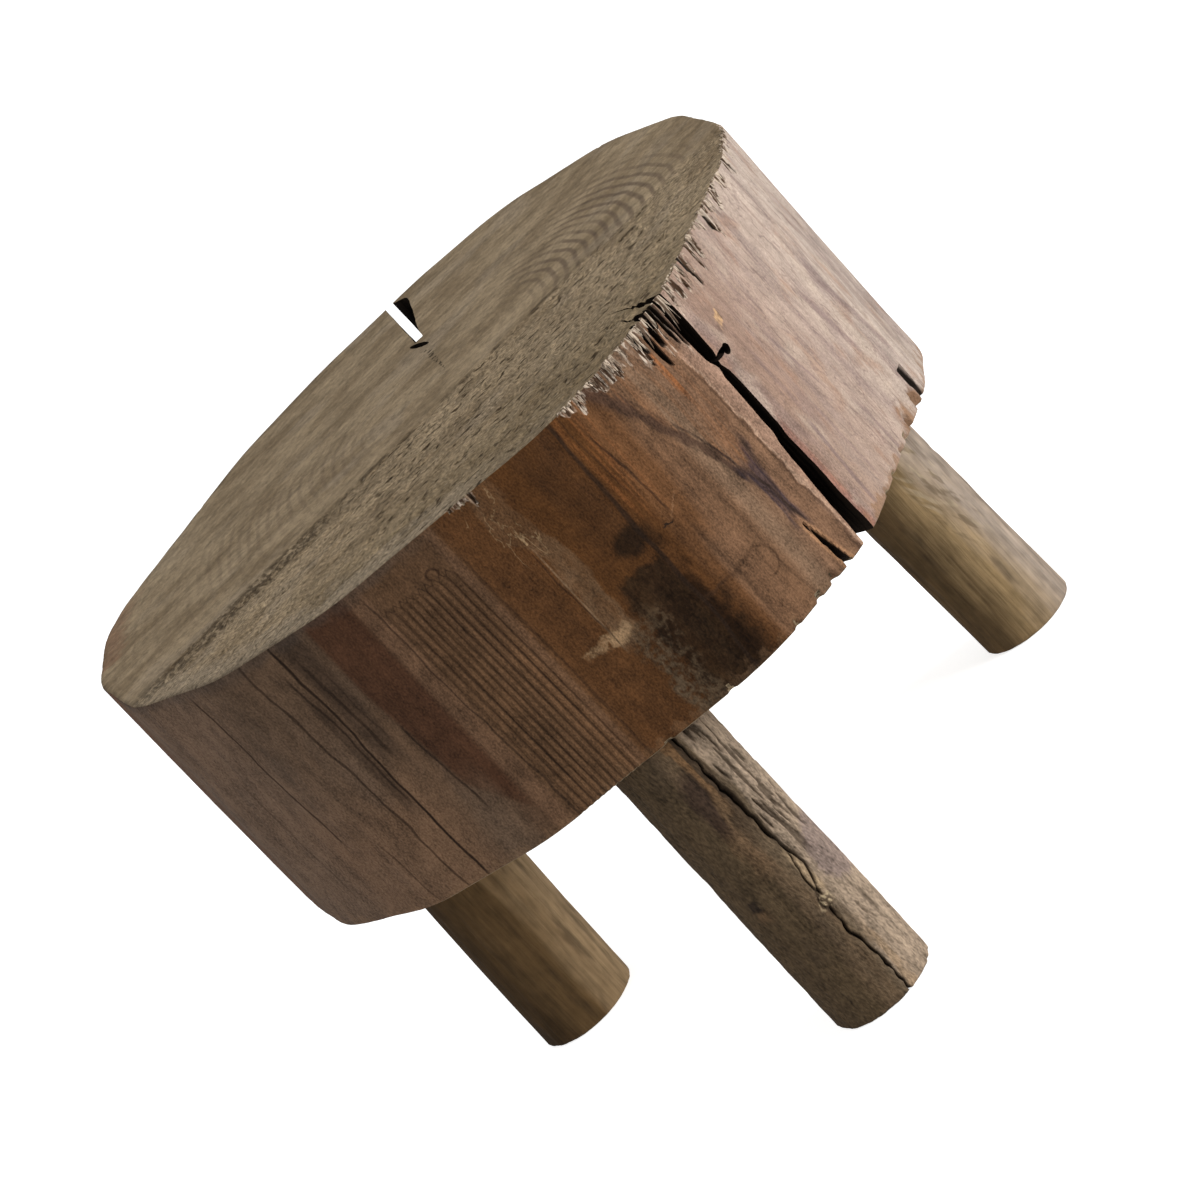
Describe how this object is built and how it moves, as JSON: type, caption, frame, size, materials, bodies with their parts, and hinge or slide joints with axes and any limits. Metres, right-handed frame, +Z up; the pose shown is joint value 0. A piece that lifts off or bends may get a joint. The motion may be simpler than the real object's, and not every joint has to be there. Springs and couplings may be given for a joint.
{
  "type": "wooden stool",
  "caption": "Low rustic stool: a thick round of hewn, checked log as the seat, on splayed round pole legs set in blind wedged mortises; stands free on a flat floor.",
  "frame": {"origin": "on the floor under the middle of the seat's box", "axes": "+Z up, the front leg towards -Y, the right leg on the +X side"},
  "size_m": [0.3575, 0.3505, 0.2815],
  "materials": {
    "seat_wood": "weathered conifer log, rough-sawn end grain on top and hewn long grain round the side",
    "leg_wood": "peeled pole, grey-brown and fissured",
    "wedge_wood": "riven hardwood, hidden in the joint"
  },
  "bodies": {
    "root": {"seat_slab": "seat_wood", "leg_front": "leg_wood", "leg_right": "leg_wood", "leg_left": "leg_wood", "wedge_front": "wedge_wood", "wedge_right": "wedge_wood", "wedge_left": "wedge_wood"}
  },
  "joints": []
}
